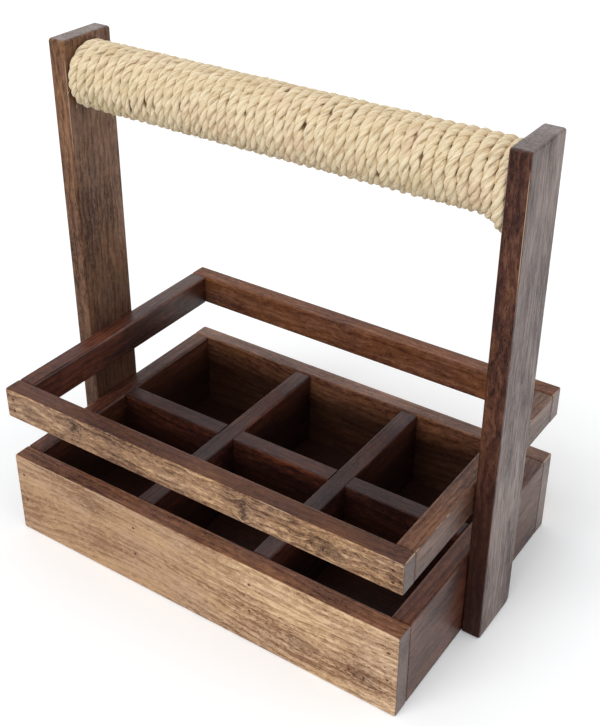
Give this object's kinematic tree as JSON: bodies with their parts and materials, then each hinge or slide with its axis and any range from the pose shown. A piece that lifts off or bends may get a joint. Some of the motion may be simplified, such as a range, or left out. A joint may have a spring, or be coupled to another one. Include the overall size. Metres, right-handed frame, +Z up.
{
  "type": "wine bottle carrier",
  "caption": "Open wooden bottle carrier: a low divided box under a rail frame, with side uprights and a round handle bar wound close with twisted rope.",
  "frame": {"origin": "on the surface that the carrier stands on, under the middle of its box", "axes": "+X runs along the handle towards the right upright, +Y from the front board to the back board, +Z up"},
  "size_m": [0.3804, 0.242, 0.381],
  "materials": {
    "pale_wood": "satin",
    "dark_wood": "satin",
    "bay_wood": "matte",
    "sisal_rope": "matte",
    "nail_steel": "satin"
  },
  "bodies": {
    "root": {"back_board": "pale_wood", "back_nail_left_divider_high": "nail_steel", "back_nail_left_divider_low": "nail_steel", "back_nail_left_end_high": "nail_steel", "back_nail_left_end_low": "nail_steel", "back_nail_right_divider_high": "nail_steel", "back_nail_right_divider_low": "nail_steel", "back_nail_right_end_high": "nail_steel", "back_nail_right_end_low": "nail_steel", "back_rail": "pale_wood", "back_rail_nail_left_high": "nail_steel", "back_rail_nail_left_low": "nail_steel", "back_rail_nail_right_high": "nail_steel", "back_rail_nail_right_low": "nail_steel", "floor_board": "bay_wood", "floor_nail_left_back": "nail_steel", "floor_nail_left_front": "nail_steel", "floor_nail_right_back": "nail_steel", "floor_nail_right_front": "nail_steel", "front_board": "pale_wood", "front_nail_left_divider_high": "nail_steel", "front_nail_left_divider_low": "nail_steel", "front_nail_left_end_high": "nail_steel", "front_nail_left_end_low": "nail_steel", "front_nail_right_divider_high": "nail_steel", "front_nail_right_divider_low": "nail_steel", "front_nail_right_end_high": "nail_steel", "front_nail_right_end_low": "nail_steel", "front_rail": "pale_wood", "front_rail_nail_left_high": "nail_steel", "front_rail_nail_left_low": "nail_steel", "front_rail_nail_right_high": "nail_steel", "front_rail_nail_right_low": "nail_steel", "handle_bar": "dark_wood", "left_cross_divider": "bay_wood", "left_end_board": "pale_wood", "left_end_nail_high": "nail_steel", "left_end_nail_low": "nail_steel", "left_plug_high": "dark_wood", "left_plug_low": "dark_wood", "left_plug_rail": "dark_wood", "left_rail": "dark_wood", "left_screw_high": "nail_steel", "left_screw_low": "nail_steel", "left_screw_rail": "nail_steel", "left_upright": "dark_wood", "long_divider": "bay_wood", "right_cross_divider": "bay_wood", "right_end_board": "pale_wood", "right_end_nail_high": "nail_steel", "right_end_nail_low": "nail_steel", "right_plug_high": "dark_wood", "right_plug_low": "dark_wood", "right_plug_rail": "dark_wood", "right_rail": "dark_wood", "right_screw_high": "nail_steel", "right_screw_low": "nail_steel", "right_screw_rail": "nail_steel", "right_upright": "dark_wood", "rope_winding": "sisal_rope"}
  },
  "joints": []
}
